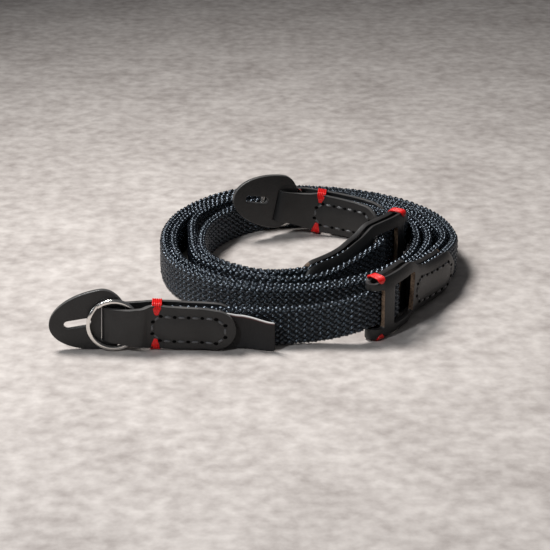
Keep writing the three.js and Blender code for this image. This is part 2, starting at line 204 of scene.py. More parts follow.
# %% [markdown]
# ## Camera
# The camera stands in front of the coil and looks down on it with a long lens.

# %% Camera
CAMERA_PLACE = (-12.2, -577.5, 230.5)
CAMERA_LENS = 121.8
CAMERA_PITCH = 22

camera_data = bpy.data.cameras.new("camera")
camera_data.lens = CAMERA_LENS
camera_data.sensor_width = 36
camera = bpy.data.objects.new("camera", camera_data)
camera.location = metres(CAMERA_PLACE)
camera.rotation_euler = (math.radians(90 - CAMERA_PITCH), 0, 0)
bpy.context.scene.collection.objects.link(camera)
bpy.context.scene.camera = camera
print("camera at", [round(v, 4) for v in camera.location])

# %% [markdown]
# ## Materials
# Each surface has its own node material: leather with grain and pores, burnished leather edges
# whose lighter grey is a painted highlight, raw leather edges, glossy braid yarn, red tack thread,
# waxed stitch thread painted grey for its shine, near-black painted shade in the stitch holes,
# steel and label cloth.
# Patterns follow the object's coordinates, or a map that the mesh carries.

# %% Material helpers


def new_material(name, color, roughness, metallic=0.0, specular=0.5):
    material = bpy.data.materials.new(name)
    material.use_nodes = True
    shader = material.node_tree.nodes["Principled BSDF"]
    shader.inputs["Base Color"].default_value = (*color, 1)
    shader.inputs["Roughness"].default_value = roughness
    shader.inputs["Metallic"].default_value = metallic
    shader.inputs["Specular IOR Level"].default_value = specular
    return material, shader


def add_node(material, kind, **values):
    node = material.node_tree.nodes.new(kind)
    for name, value in values.items():
        socket = name.replace("_", " ").title()
        if socket in node.inputs:
            node.inputs[socket].default_value = value
        else:
            setattr(node, name, value)
    return node


def link(material, out_socket, in_socket):
    material.node_tree.links.new(out_socket, in_socket)


def noise(material, scale, detail=3.0):
    places = add_node(material, "ShaderNodeTexCoord")
    node = add_node(material, "ShaderNodeTexNoise", scale=scale, detail=detail)
    link(material, places.outputs["Object"], node.inputs["Vector"])
    return node.outputs["Fac"]


def ramp(material, factor, stops):
    node = add_node(material, "ShaderNodeValToRGB")
    elements = node.color_ramp.elements
    while len(elements) < len(stops):
        elements.new(0.5)
    for element, (at, color) in zip(elements, stops):
        element.position = at
        element.color = (*color, 1)
    link(material, factor, node.inputs["Fac"])
    return node.outputs["Color"]


def spread(material, factor, low, high):
    node = add_node(material, "ShaderNodeMapRange")
    node.inputs["To Min"].default_value = low
    node.inputs["To Max"].default_value = high
    link(material, factor, node.inputs["Value"])
    return node.outputs["Result"]


def bump(material, shader, height, strength, distance):
    node = add_node(material, "ShaderNodeBump", strength=strength, distance=distance)
    link(material, height, node.inputs["Height"])
    before = shader.inputs["Normal"].links
    if before:
        link(material, before[0].from_socket, node.inputs["Normal"])
    link(material, node.outputs["Normal"], shader.inputs["Normal"])


# %% Leather
GRAIN = 1500
GRAIN_BUMP = (0.35, 0.00016)
PORES = 2600
PORE_BUMP = (0.18, 0.00010)
CLOUDS = 130
CLOUD_DARK, CLOUD_LIGHT = 0.3, 0.75
MAP_PER_MM = 0.1
SLOT_EDGE_REACH = 6.2
RAW_GRAIN = 1900
RAW_DARK = (0.055, 0.034, 0.022)
RAW_LIGHT = (0.26, 0.175, 0.115)


def leather(name, dark, light, roughness):
    material, shader = new_material(name, dark, roughness[0])
    clouds = noise(material, CLOUDS, 5)
    tones = ramp(material, clouds, ((CLOUD_DARK, dark), (CLOUD_LIGHT, light)))
    link(material, tones, shader.inputs["Base Color"])
    grain = noise(material, GRAIN, 4)
    link(material, spread(material, grain, *roughness), shader.inputs["Roughness"])
    pores = add_node(material, "ShaderNodeTexVoronoi", scale=PORES)
    places = add_node(material, "ShaderNodeTexCoord")
    link(material, places.outputs["Object"], pores.inputs["Vector"])
    bump(material, shader, grain, *GRAIN_BUMP)
    bump(material, shader, pores.outputs["Distance"], *PORE_BUMP)
    return material


LEATHER_FACE = leather("leather_face", (0.006, 0.006, 0.0062), (0.016, 0.0158, 0.016), (0.34, 0.54))
# The edge colour is far lighter than the face: it paints the highlight that falls along the burnished rims.
LEATHER_EDGE_HIGHLIGHT = leather("leather_edge_painted_highlight", (0.050, 0.048, 0.047), (0.12, 0.115, 0.11), (0.24, 0.40))
LEATHER_RAW = leather("leather_raw_edge", (0.014, 0.013, 0.013), (0.034, 0.031, 0.030), (0.45, 0.65))

# A slider's slots show raw tan leather, and its outer rim stays dark
raw_shader = LEATHER_RAW.node_tree.nodes["Principled BSDF"]
raw_map = add_node(LEATHER_RAW, "ShaderNodeUVMap", uv_map="along")
raw_axes = add_node(LEATHER_RAW, "ShaderNodeSeparateXYZ")
link(LEATHER_RAW, raw_map.outputs["UV"], raw_axes.inputs["Vector"])
raw_height = add_node(LEATHER_RAW, "ShaderNodeMath", operation="ABSOLUTE")
link(LEATHER_RAW, raw_axes.outputs["Y"], raw_height.inputs[0])
raw_tan = ramp(LEATHER_RAW, noise(LEATHER_RAW, RAW_GRAIN, 3), ((0.3, RAW_DARK), (0.7, RAW_LIGHT)))
raw_mix = add_node(LEATHER_RAW, "ShaderNodeMix", data_type="RGBA")
raw_step = add_node(LEATHER_RAW, "ShaderNodeMath", operation="LESS_THAN")
raw_step.inputs[1].default_value = SLOT_EDGE_REACH * MAP_PER_MM
link(LEATHER_RAW, raw_height.outputs[0], raw_step.inputs[0])
link(LEATHER_RAW, raw_step.outputs[0], raw_mix.inputs["Factor"])
link(LEATHER_RAW, raw_shader.inputs["Base Color"].links[0].from_socket, raw_mix.inputs["A"])
link(LEATHER_RAW, raw_tan, raw_mix.inputs["B"])
link(LEATHER_RAW, raw_mix.outputs["Result"], raw_shader.inputs["Base Color"])

# %% Yarn, threads, label and steel
FILAMENT_BUMP = (0.45, 0.00006)
BRAID_SHEEN = (0.72, 0.85, 1.0, 1)
RIB_BUMP = (0.4, 0.00008)
RIBS = 9.0
SCUFFS = 2400
SELVEDGE_TOP = 0.975


def yarn(name, dark, light, roughness, filaments, specular=0.5):
    material, shader = new_material(name, dark, roughness, specular=specular)
    tone = add_node(material, "ShaderNodeAttribute", attribute_name="tone")
    tones = ramp(material, tone.outputs["Fac"], ((0, dark), (1, light)))
    link(material, tones, shader.inputs["Base Color"])
    place = add_node(material, "ShaderNodeUVMap", uv_map="along")
    wave = add_node(material, "ShaderNodeTexWave", scale=filaments, distortion=1.2)
    wave.bands_direction = "Y"
    link(material, place.outputs["UV"], wave.inputs["Vector"])
    bump(material, shader, wave.outputs["Fac"], *FILAMENT_BUMP)
    return material


BRAID_YARN = yarn("braid_yarn", (0.0020, 0.0024, 0.0034), (0.007, 0.009, 0.013), 0.22, 1.6, 1.0)
braid_shader = BRAID_YARN.node_tree.nodes["Principled BSDF"]
braid_shader.inputs["Specular Tint"].default_value = BRAID_SHEEN
BRAID_CORE, _ = new_material("braid_core", (0.002, 0.002, 0.0025), 0.9)
RED_THREAD = yarn("red_thread", (0.62, 0.004, 0.004), (0.95, 0.012, 0.010), 0.32, 2.2)
# Painted sheen: the thread is black and waxed, and its grey colour stands for its shine.
STITCH_THREAD_SHEEN = yarn("stitch_thread_painted_sheen", (0.06, 0.06, 0.063), (0.12, 0.12, 0.125), 0.30, 2.2)
# Painted shade: near-black, nearly matt caps stand for the shade inside the stitch holes.
STITCH_HOLE_SHADE, _ = new_material("stitch_hole_painted_shade", (0.001, 0.001, 0.001), 0.95, specular=0.1)

STEEL, steel_shader = new_material("steel", (0.80, 0.78, 0.75), 0.16, metallic=1.0)
scuffs = noise(STEEL, SCUFFS, 2)
link(STEEL, spread(STEEL, scuffs, 0.10, 0.26), steel_shader.inputs["Roughness"])

LABEL_CLOTH, label_shader = new_material("label_cloth", (0.008, 0.008, 0.008), 0.75)
label_map = add_node(LABEL_CLOTH, "ShaderNodeUVMap", uv_map="along")
label_axes = add_node(LABEL_CLOTH, "ShaderNodeSeparateXYZ")
link(LABEL_CLOTH, label_map.outputs["UV"], label_axes.inputs["Vector"])
label_bands = ((0.0, (0.008, 0.008, 0.009)), (0.92, (0.010, 0.008, 0.008)),
               (0.95, (0.10, 0.018, 0.016)), (SELVEDGE_TOP, (0.72, 0.70, 0.68)))
link(LABEL_CLOTH, ramp(LABEL_CLOTH, label_axes.outputs["Y"], label_bands),
     label_shader.inputs["Base Color"])
for direction in ("X", "Y"):
    rib = add_node(LABEL_CLOTH, "ShaderNodeTexWave", scale=RIBS)
    rib.bands_direction = direction
    link(LABEL_CLOTH, label_map.outputs["UV"], rib.inputs["Vector"])
    bump(LABEL_CLOTH, label_shader, rib.outputs["Fac"], *RIB_BUMP)
print("materials", len(bpy.data.materials))

# %% [markdown]
# ## Meshes from points
# A helper turns points in millimetres into a mesh object at the origin. It rides on the one
# body of the part and stands for its node.

# %% Mesh helpers


def make_piece(name, points, faces, materials, node=None, uvs=None, tones=None, face_material=None):
    mesh = bpy.data.meshes.new(name)
    mesh.from_pydata(metres(points).tolist(), [], [tuple(face) for face in faces])
    for material in materials:
        mesh.materials.append(material)
    mesh.polygons.foreach_set("use_smooth", np.ones(len(mesh.polygons), bool))
    if face_material is not None:
        mesh.polygons.foreach_set("material_index", np.asarray(face_material, np.int32))
    if uvs is not None:
        corners = np.empty(len(mesh.loops), np.int32)
        mesh.loops.foreach_get("vertex_index", corners)
        layer = mesh.uv_layers.new(name="along")
        layer.data.foreach_set("uv", np.asarray(uvs, np.float32)[corners].ravel())
    if tones is not None:
        layer = mesh.attributes.new("tone", "FLOAT", "POINT")
        layer.data.foreach_set("value", np.asarray(tones, np.float32))
    mesh.update()
    piece = bpy.data.objects.new(name, mesh)
    bpy.context.scene.collection.objects.link(piece)
    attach(piece, "root")
    if node is not None:
        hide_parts(node)
    return piece


def face_outward(piece):
    work = bmesh.new()
    work.from_mesh(piece.data)
    bmesh.ops.recalc_face_normals(work, faces=work.faces)
    work.to_mesh(piece.data)
    work.free()


def grid_faces(rows, columns, start=0, wrap=False):
    faces = []
    last = columns if wrap else columns - 1
    for i in range(rows - 1):
        for j in range(last):
            a = start + i * columns + j
            b = start + i * columns + (j + 1) % columns
            faces.append((a, b, b + columns, a + columns))
    return faces


TUBE_END = 0.35


def tube(points, normals, radius, sides=8):
    points = np.asarray(points, float)
    slopes = unit(np.gradient(points, axis=0))
    out = unit(normals - slopes * np.sum(normals * slopes, axis=1, keepdims=True))
    side = np.cross(slopes, out)
    turns = np.linspace(0, 2 * math.pi, sides, endpoint=False)
    reach = np.full(len(points), radius)
    reach[[0, -1]] *= TUBE_END
    rings = points[:, None] + reach[:, None, None] * (
        np.cos(turns)[None, :, None] * side[:, None] + np.sin(turns)[None, :, None] * out[:, None])
    faces = grid_faces(len(points), sides, wrap=True)
    faces.append(tuple(range(sides))[::-1])
    faces.append(tuple((len(points) - 1) * sides + j for j in range(sides)))
    lengths = np.concatenate(([0], np.cumsum(np.linalg.norm(np.diff(points, axis=0), axis=1))))
    uvs = np.stack((np.repeat(lengths, sides), np.tile(np.arange(sides) / sides * 2, len(points))), -1)
    return rings.reshape(-1, 3), faces, uvs


def join(parts):
    points, faces, uvs, count = [], [], [], 0
    for part_points, part_faces, part_uvs in parts:
        points.append(part_points)
        uvs.append(part_uvs)
        faces += [tuple(i + count for i in face) for face in part_faces]
        count += len(part_points)
    return np.vstack(points), faces, np.vstack(uvs)


# %% [markdown]
# ## Braided straps
# A flat braid is a flattened tube. Its yarns run both ways round it and cross over and under
# each other, so lines of floats that lean one way alternate with lines that lean the other way.
# Each float is a small domed patch over a dark core.

# %% Braids
YARNS_EACH_WAY = 14
FLOAT_PITCH = 2.4
CORE_HALF_THICK = 1.03
CORE_HALF_FACE = 4.7
FLOAT_LENGTH = 2.25
FLOAT_WIDTH = 1.22
FLOAT_HEIGHT = 0.60
FLOAT_SINK = 0.22
FLOAT_ALONG = np.array((-1.0, -0.55, 0.0, 0.55, 1.0))
FLOAT_ACROSS = np.array((-1.0, -0.42, 0.42, 1.0))
FLOAT_TAPER = 0.35
FIRST_FLOAT = 0.75
SIDE_JITTER = 0.03
LENGTH_JITTER = 0.05
SIZE_JITTER = 0.04
TONE_SPREAD = 0.22
CORE_STEP = 2.0
CORE_SIDES = 20
ROUTE_STEP = 3.0


def section(u):
    """Place and outward direction round the flattened tube, as side and rise."""
    face = 2 * CORE_HALF_FACE
    bend = math.pi * CORE_HALF_THICK
    u = np.mod(u, 2 * (face + bend))
    half = np.where(u < face + bend, 1.0, -1.0)
    along = np.where(u < face + bend, u, u - face - bend)
    on_face = along < face
    turn = np.clip((along - face) / CORE_HALF_THICK, 0, math.pi)
    side = np.where(on_face, CORE_HALF_THICK, CORE_HALF_THICK * np.cos(turn)) * half
    rise = np.where(on_face, along - CORE_HALF_FACE, CORE_HALF_FACE + CORE_HALF_THICK * np.sin(turn)) * half
    out_side = np.where(on_face, 1.0, np.cos(turn)) * half
    out_rise = np.where(on_face, 0.0, np.sin(turn)) * half
    return side, rise, out_side, out_rise


def on_strap(path, u, v, height):
    place, _, left, _ = path.frame(v)
    side, rise, out_side, out_rise = section(u)
    points = place + left * (side + out_side * height)[:, None]
    points[:, 2] += rise + out_rise * height
    return points


def braid_floats(path, around, chance):
    """Domed patches, one for each place where a yarn crosses over, as points and faces."""
    column_gap = around / (2 * YARNS_EACH_WAY)
    lean = math.atan2(column_gap, FLOAT_PITCH / 2)
    count = int((path.length - FLOAT_PITCH) / FLOAT_PITCH)
    column, row = np.meshgrid(np.arange(2 * YARNS_EACH_WAY), np.arange(count), indexing="ij")
    column, row = column.ravel(), row.ravel()
    way = np.where(column % 2 == 0, 1.0, -1.0)
    u = column * column_gap + chance.normal(0, SIDE_JITTER, len(column))
    v = FLOAT_PITCH * (row + FIRST_FLOAT + 0.5 * (column % 2))
    v = v + chance.normal(0, LENGTH_JITTER, len(column))
    size = chance.normal(1, SIZE_JITTER, len(column))
    along, across = np.meshgrid(FLOAT_ALONG, FLOAT_ACROSS, indexing="ij")
    along, across = along.ravel(), across.ravel()
    s = along * FLOAT_LENGTH / 2
    w = across * (1 - FLOAT_TAPER * along**2) * FLOAT_WIDTH / 2
    grid_u = u[:, None] + size[:, None] * (way[:, None] * s * math.sin(lean) + w * math.cos(lean))
    grid_v = v[:, None] + size[:, None] * (s * math.cos(lean) - way[:, None] * w * math.sin(lean))
    dome = (1 - along**2) * np.sqrt(np.clip(1 - across**2, 0, 1))
    height = FLOAT_HEIGHT * dome[None, :] * size[:, None] ** 2 - FLOAT_SINK * (1 - dome)[None, :]
    points = on_strap(path, grid_u.ravel(), grid_v.ravel(), height.ravel())
    patch = np.array(grid_faces(len(FLOAT_ALONG), len(FLOAT_ACROSS)))
    faces = np.where((way > 0)[:, None, None], patch[None], patch[None, :, ::-1])
    faces = faces + (np.arange(len(u)) * len(along))[:, None, None]
    uvs = np.tile(np.stack((along, across), -1), (len(u), 1))
    tones = np.repeat(np.clip(chance.normal(0.5, TONE_SPREAD, len(u)), 0, 1), len(along))
    return points, faces.reshape(-1, 4).tolist(), uvs, tones


def braid_core(path, around, start):
    """Closed dark tube under the floats, its points numbered from start."""
    stops = np.linspace(0, path.length, int(path.length / CORE_STEP) + 1)
    ring = np.linspace(0, around, CORE_SIDES, endpoint=False)
    u, v = np.tile(ring, len(stops)), np.repeat(stops, CORE_SIDES)
    points = on_strap(path, u, v, np.zeros(len(u)))
    faces = grid_faces(len(stops), CORE_SIDES, start, wrap=True)
    faces.append(tuple(start + j for j in range(CORE_SIDES))[::-1])
    faces.append(tuple(start + (len(stops) - 1) * CORE_SIDES + j for j in range(CORE_SIDES)))
    return points, faces


def make_braid(name, path, seed, node):
    around = 2 * (2 * CORE_HALF_FACE + math.pi * CORE_HALF_THICK)
    floats, float_faces, uvs, tones = braid_floats(path, around, np.random.default_rng(seed))
    core, core_faces = braid_core(path, around, len(floats))
    which = [0] * len(float_faces) + [1] * len(core_faces)
    uvs = np.concatenate((uvs, np.zeros((len(core), 2))))
    tones = np.concatenate((tones, np.zeros(len(core))))
    piece = make_piece(name, np.vstack((floats, core)), float_faces + core_faces,
                       (BRAID_YARN, BRAID_CORE), node, uvs, tones, which)
    route = metres(path.frame(np.arange(0, path.length, ROUTE_STEP))[0])
    print(name, "faces", len(which))
    return piece


make_braid("braid_a_weave", braid_a_path, 3, "braid_a")
make_braid("braid_b_weave", braid_b_path, 5, "braid_b")

# %% [markdown]
# ## Folded leather
# Each leather end is one sheet: out along one side of the braid, round the fold and back
# along the other. Faces are left out of the sheet where a slot goes. Subdivision rounds the
# outline, Solidify gives the thickness with its own material on the cut edge, and Bevel
# softens the rims.

# %% Leather sheets
LEATHER = 1.4
END_ROUND = 6.0
END_TIP = 0.15
END_STEPS = 8
FOLD_STEPS = 10
INNER_ROWS = 9
INNER_SHARE = 0.86
RIM_SOFTNESS = 0.28
STATION_GAP = 1.3
RING_SIDE, PLAIN_SIDE, HALF_HEIGHT = 1, 2, 3
CAMERA_STRIP = (
    # length from the fold, ring side, plain side, half height
    (0, 1.9, 1.9, 5.3), (3.8, 2.9, 2.3, 5.4), (6.8, 4.0, 2.4, 5.6), (10.9, 4.0, 2.2, 6.1),
    (13.2, 2.4, 1.8, 6.7), (15.6, 1.6, 1.6, 6.9), (18.8, 2.35, 2.35, 6.7), (28.8, 2.35, 2.35, 6.5),
    (34.8, 2.35, 2.35, 6.2), (60, 2.35, 2.35, 6.0),
)
LABEL_ROOM = 1.0
CAMERA_STRIP_WITH_LABEL = tuple(
    (at, ring + (LABEL_ROOM if at > 31.8 else 0), plain, half) for at, ring, plain, half in CAMERA_STRIP)
SLIDER_STRIP = (
    (0, 2.4, 2.4, 9.6), (6, 2.5, 2.5, 9.6), (18, 2.4, 2.4, 9.6), (24, 2.35, 2.35, 7.2),
    (30, 2.35, 2.35, 6.7), (60, 2.35, 2.35, 6.4),
)
FOLD_SLOT_END = 3.4
FACE_SLOT = (7.5, 19.8)
SLOT_HALF_HEIGHT = 6.3
SEAM_START, SEAM_INSET = 14.4, 3.2
SEAM_HALF_HEIGHT = 3.9
SEAM_CORNER = 2.7
SEAM_MIDDLE = -0.3
PANEL_RISE = 0.35
PANEL_SLOPE = 1.3
FOLD_DROP = 1.3
FOLD_DROP_END = 3.6
PINCH = 1.05
PINCH_START = 0.62
PINCH_RAMP_START = 0.52
PINCH_RAMP = 2.6


def panel(at, height, seam, length):
    """How far the stitched middle of a leather layer stands proud."""
    start, end = seam, length - SEAM_INSET
    middle_start, middle_end = start + SEAM_HALF_HEIGHT, end - SEAM_HALF_HEIGHT
    past = max(middle_start - at, 0, at - middle_end)
    inside = SEAM_HALF_HEIGHT - math.hypot(past, height - SEAM_MIDDLE)
    share = min(max(inside / PANEL_SLOPE, 0), 1)
    return PANEL_RISE * share * share * (3 - 2 * share)


def pinch(at, height, half, amount):
    """How far the rims of two layers lean towards each other, away from the fold."""
    amount = amount * min(1, max(0, (at - PINCH_RAMP_START) / PINCH_RAMP))
    share = np.clip((np.abs(height) / half - PINCH_START) / (1 - PINCH_START), 0, 1)
    return amount * share * share


def fold_drop(at):
    """How far the top rim of a slider dips at its fold."""
    share = min(1, max(0, at / FOLD_DROP_END))
    return FOLD_DROP * (1 - share * share * (3 - 2 * share))


def strip_stations(path, table, ring_side, stops):
    """Stations from one free end, round the fold, to the other free end."""
    fold = table[0][PLAIN_SIDE]
    straight_end = path.length - END_ROUND
    lengths = [fold]
    for stop in [s for s in stops if s > fold] + [straight_end]:
        count = max(1, round((stop - lengths[-1]) / STATION_GAP))
        lengths += list(np.linspace(lengths[-1], stop, count + 1)[1:])
    along = [(at, 1.0) for at in lengths]
    for turn in np.linspace(0, math.pi / 2, END_STEPS)[1:]:
        along.append((straight_end + END_ROUND * math.sin(turn), max(END_TIP, math.cos(turn))))

    def layer(side):
        column = RING_SIDE if side == ring_side else PLAIN_SIDE
        for at, shrink in along:
            place, _, left, up = (v[0] for v in path.frame(at))
            reach = float(smooth_between(table, column, at)[0])
            half = float(smooth_between(table, HALF_HEIGHT, at)[0]) * shrink
            out = left * side
            yield {"at": at, "place": place + out * reach, "out": out, "up": up, "half": half}

    place, slope, left, up = (v[0] for v in path.frame(fold))
    bend = []
    for turn in np.linspace(0, math.pi, FOLD_STEPS + 1)[1:-1]:
        out = left * ring_side * math.cos(turn) - slope * math.sin(turn)
        at = fold - fold * math.sin(turn)
        half = table[0][HALF_HEIGHT]
        bend.append({"at": at, "place": place + out * fold, "out": out, "up": up, "half": half})
    return list(layer(ring_side))[::-1] + bend + list(layer(-ring_side))


def make_strip(name, path, table, ring_side, node, seam, slots=(), rims=None, lean=0.0):
    stops = sorted(edge for slot in slots for edge in slot if edge > 0)
    stations = strip_stations(path, table, ring_side, stops)
    inner = np.linspace(-1, 1, INNER_ROWS)
    points, uvs = [], []
    for station in stations:
        half = station["half"]
        limit = min(SLOT_HALF_HEIGHT, INNER_SHARE * half)
        top = half - fold_drop(station["at"]) if slots else half
        heights = [-half] + list(inner * limit) + [top]
        for height in heights:
            proud = panel(station["at"], height, seam, path.length)
            proud -= pinch(station["at"], height, half, lean)
            points.append(station["place"] + station["up"] * height + station["out"] * proud)
            uvs.append((station["at"], height))
    columns = len(inner) + 2
    faces = []
    for i, face in enumerate(grid_faces(len(stations), columns)):
        row, column = divmod(i, columns - 1)
        at = (stations[row]["at"] + stations[row + 1]["at"]) / 2
        in_slot = any(low < at < high for low, high in slots)
        if not (in_slot and 0 < column < columns - 2):
            faces.append(face)
    # Sliders take the raw edge; the other strips take the burnished edge with its painted highlight.
    piece = make_piece(name, np.array(points), faces, (LEATHER_FACE, rims or LEATHER_EDGE_HIGHLIGHT),
                       node, np.array(uvs) * MAP_PER_MM)
    face_outward(piece)
    round_edges(piece, LEATHER, 1, RIM_SOFTNESS)
    print(name, "faces", len(faces))
    return piece


def round_edges(piece, thickness, rim_material, softness):
    smooth = piece.modifiers.new("smooth", "SUBSURF")
    smooth.levels = smooth.render_levels = 1
    solid = piece.modifiers.new("thickness", "SOLIDIFY")
    solid.thickness = thickness * MM
    solid.offset = 0
    solid.use_even_offset = True
    solid.material_offset_rim = rim_material
    soft = piece.modifiers.new("soft_rim", "BEVEL")
    soft.width = softness * MM
    soft.segments = 2
    soft.limit_method = "ANGLE"
    soft.angle_limit = math.radians(45)


slider_slots = ((-10.0, FOLD_SLOT_END), FACE_SLOT)
SLIDER_SEAM = 22.5
make_strip("camera_end_a_leather", camera_a, CAMERA_STRIP_WITH_LABEL, -1, "camera_end_a", SEAM_START)
make_strip("camera_end_b_leather", camera_b, CAMERA_STRIP, 1, "camera_end_b", SEAM_START)
for letter, path in (("a", slider_a), ("b", slider_b)):
    make_strip(f"slider_end_{letter}_leather", path, SLIDER_STRIP, 1, f"slider_end_{letter}",
               SLIDER_SEAM, slider_slots, LEATHER_RAW, PINCH)

# %% [markdown]
# ## Stitches
# A line of stitches runs round the panel of each leather layer: near-black caps that paint the
# shade in the holes, with a dash of waxed thread, painted grey for its shine, sunk between each pair.

# %% Stitches
STITCH_PITCH = 4.2
END_STITCHES = (1.7, -2.1)
HOLE_HALF_LENGTH = 0.86
HOLE_HALF_HEIGHT = 0.66
HOLE_CROWN = 0.16
HOLE_CROWN_SHARE = 0.6
HOLE_DEPTH = 0.3
HOLE_LIFT = 0.10
HOLE_SIDES = 10
STITCH_RADIUS = 0.42
STITCH_SHARE = np.linspace(0.25, 0.75, 6)
STITCH_SIDES = 7
STITCH_TONE = 0.5


def seam_route(start, end):
    """Stitch holes round a stadium, as length along the strip and height."""
    low, high = start + SEAM_CORNER, end - SEAM_CORNER
    count = max(2, round((high - low) / STITCH_PITCH) + 1)
    top = [(at, SEAM_MIDDLE + SEAM_HALF_HEIGHT) for at in np.linspace(low, high, count)]
    bottom = [(at, SEAM_MIDDLE - SEAM_HALF_HEIGHT) for at in np.linspace(high, low, count)]
    right = [(end, height) for height in END_STITCHES]
    left = [(start, height) for height in END_STITCHES[::-1]]
    return top + right + bottom + left


def layer_surface(path, table, side, column, at, height, seam, lift):
    place, slope, left, up = path.frame(at)
    reach = smooth_between(table, column, at)
    proud = np.array([panel(a, h, seam, path.length) for a, h in zip(at, height)])
    out = left * side
    points = place + out * (reach + LEATHER / 2 + proud + lift)[:, None] + up * height[:, None]
    return points, slope, out, up


def make_stitches(name, path, table, ring_side, seam):
    hole_shades, threads = [], []
    route = seam_route(seam, path.length - SEAM_INSET)
    turns = np.linspace(0, 2 * math.pi, HOLE_SIDES, endpoint=False)
    for side in (ring_side, -ring_side):
        column = RING_SIDE if side == ring_side else PLAIN_SIDE
        for i, (at, height) in enumerate(route):
            centre, slope, out, up = (v[0] for v in layer_surface(
                path, table, side, column, np.array([at]), np.array([height]), seam, HOLE_LIFT))
            rim = [centre + slope * HOLE_HALF_LENGTH * math.cos(t) + up * HOLE_HALF_HEIGHT * math.sin(t)
                   for t in turns]
            crown = [centre + (p - centre) * HOLE_CROWN_SHARE + out * HOLE_CROWN for p in rim]
            ring = [p - out * HOLE_DEPTH for p in rim]
            faces = grid_faces(2, HOLE_SIDES, wrap=True) + [tuple(range(HOLE_SIDES, 2 * HOLE_SIDES))]
            hole_shades.append((np.array(ring + crown), faces, np.zeros((2 * HOLE_SIDES, 2))))
            after = route[(i + 1) % len(route)]
            run, _, outs, _ = layer_surface(
                path, table, side, column, at + (after[0] - at) * STITCH_SHARE,
                height + (after[1] - height) * STITCH_SHARE, seam, 0)
            threads.append(tube(run, outs, STITCH_RADIUS, STITCH_SIDES))
    for suffix, parts, material in (("hole_shades", hole_shades, STITCH_HOLE_SHADE), ("thread", threads, STITCH_THREAD_SHEEN)):
        points, faces, uvs = join(parts)
        piece = make_piece(f"{name}_stitch_{suffix}", points, faces, (material,), None, uvs,
                           np.full(len(points), STITCH_TONE))
        face_outward(piece)
    print(name, "stitches", len(threads))


make_stitches("camera_end_a", camera_a, CAMERA_STRIP_WITH_LABEL, -1, SEAM_START)
make_stitches("camera_end_b", camera_b, CAMERA_STRIP, 1, SEAM_START)
make_stitches("slider_end_a", slider_a, SLIDER_STRIP, 1, SLIDER_SEAM)
make_stitches("slider_end_b", slider_b, SLIDER_STRIP, 1, SLIDER_SEAM)

# %% [markdown]
# ## Red thread tacks
# Several turns of thread wrap over both leather layers at the neck. They lie side by side on
# the edge and draw together where they enter the leather.

# %% Tacks
TACK_TURNS = 5
TACK_WIDTH = 2.4
TACK_RADIUS = 0.3
TACK_DRAWN = 0.35
TACK_SINK = (0.2, 0.5)
TACK_THINNING = 6
TACK_HEART = 2
CAMERA_TACK_LEG = 3.1
SLIDER_TACK_LEG = 1.5
SLIDER_TACK_LEAN = 0.85
TACK_CLEAR = 0.2
CAMERA_TACK_AT = 15.6
SLIDER_TACK_AT = 2.6


def make_tack(name, path, table, ring_side, at, rim, leg, lean):
    place, slope, left, up = (v[0] for v in path.frame(at))
    edge = float(smooth_between(table, HALF_HEIGHT, at)[0]) + TACK_CLEAR
    clear = LEATHER / 2 + TACK_CLEAR - lean
    ring = ring_side * (float(smooth_between(table, RING_SIDE, at)[0]) + clear)
    plain = -ring_side * (float(smooth_between(table, PLAIN_SIDE, at)[0]) + clear)
    chance = np.random.default_rng(11)
    parts = []
    for turn in range(TACK_TURNS):
        offset = (turn / (TACK_TURNS - 1) - 0.5) * TACK_WIDTH
        drawn = TACK_DRAWN * offset
        sink = chance.uniform(*TACK_SINK)
        outline = (
            # side, height, along
            (ring * 0.86, edge - leg - sink, drawn), (ring, edge - leg * 0.8, drawn * 1.2),
            (ring, edge - leg * 0.35, offset * 0.85), (ring * 0.8, edge + 0.05, offset),
            (0.5 * (ring + plain), edge + 0.25, offset), (plain * 0.8, edge + 0.05, offset),
            (plain, edge - leg * 0.35, offset * 0.85), (plain, edge - leg * 0.8, drawn * 1.2),
            (plain * 0.86, edge - leg - sink, drawn),
        )
        route = spline([place + left * s + up * rim * h + slope * a for s, h, a in outline])
        points = route[::TACK_THINNING]
        outs = points - (place + up * rim * (edge - TACK_HEART))
        parts.append(tube(points, outs, TACK_RADIUS))
    points, faces, uvs = join(parts)
    piece = make_piece(f"{name}_thread", points, faces, (RED_THREAD,), name, uvs,
                       np.random.default_rng(2).uniform(0, 1, len(points)))
    face_outward(piece)


TACKS = (
    # owner, path, table, ring side, length from the fold, leg, lean
    ("camera_end_a", camera_a, CAMERA_STRIP_WITH_LABEL, -1, CAMERA_TACK_AT, CAMERA_TACK_LEG, 0.0),
    ("camera_end_b", camera_b, CAMERA_STRIP, 1, CAMERA_TACK_AT, CAMERA_TACK_LEG, 0.0),
    ("slider_end_a", slider_a, SLIDER_STRIP, 1, SLIDER_TACK_AT, SLIDER_TACK_LEG, SLIDER_TACK_LEAN),
    ("slider_end_b", slider_b, SLIDER_STRIP, 1, SLIDER_TACK_AT, SLIDER_TACK_LEG, SLIDER_TACK_LEAN),
)
for owner, path, table, ring_side, at, leg, lean in TACKS:
    make_tack(f"{owner}_tack_top", path, table, ring_side, at, 1, leg, lean)
    make_tack(f"{owner}_tack_bottom", path, table, ring_side, at, -1, leg, lean)
print("tacks", 2 * len(TACKS))

# %% [markdown]
# ## Lug tabs
# The egg outline, the slit and the slot are closed loops. They are filled as one flat curve
# with holes, which also gives the rounded, burnished rim; the rim's lighter colour is a painted highlight.

# %% Tabs
TAB_THICKNESS = 1.6
TAB_ROUND = 0.3
TAB_HALF_WIDTH = 9.5
TAB_LONG_END = 16.9
TAB_SHORT_END = 7.0
TAB_SLIT = (-12.4, -4.2, 2.4)
TAB_SLOT_HALF = (0.95, 5.5)
TAB_SLOT_DROP = 1.3
TAB_SLOT_AT = 0.2
TAB_SIDES = 96
SLIT_END_SIDES = 12
FLAT_NORMAL = 0.9
WELD_DISTANCE = 0.00001
LEAN_A = 0.19


